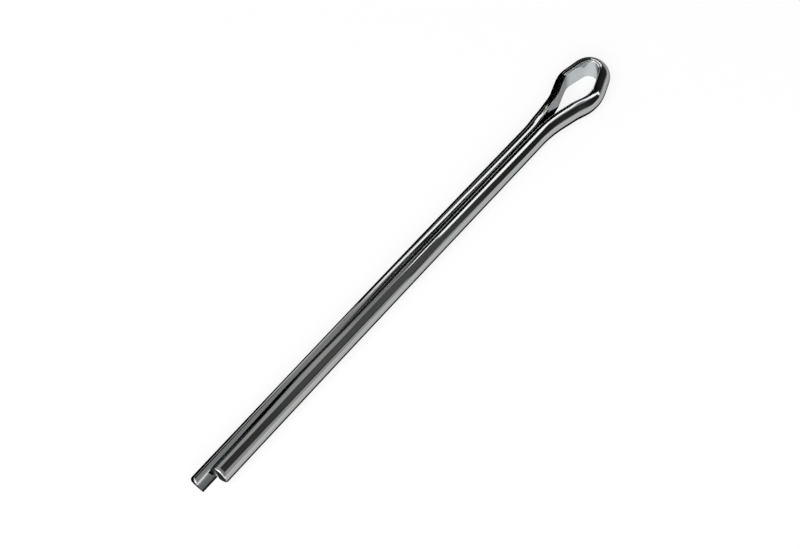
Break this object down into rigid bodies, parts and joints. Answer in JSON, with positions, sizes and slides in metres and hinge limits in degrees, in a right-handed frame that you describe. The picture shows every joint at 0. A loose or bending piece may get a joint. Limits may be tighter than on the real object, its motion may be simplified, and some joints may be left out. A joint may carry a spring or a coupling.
{
  "type": "cotter pin",
  "caption": "Split cotter pin of folded half-round steel wire, with two legs of unequal length and a rounded eye, for locking a nut or a clevis pin.",
  "frame": {"origin": "on the shank's axis, where the short leg's straight part meets the eye", "axes": "+X along the shank towards the eye, +Y towards the long leg, +Z square to the plane of the fold, up as the pin lies"},
  "size_m": [0.0877, 0.0076, 0.0036],
  "materials": {
    "zinc_plated_steel": "bright zinc plating on drawn half-round wire"
  },
  "bodies": {
    "root": {"cotter_pin": "zinc_plated_steel"}
  },
  "joints": []
}
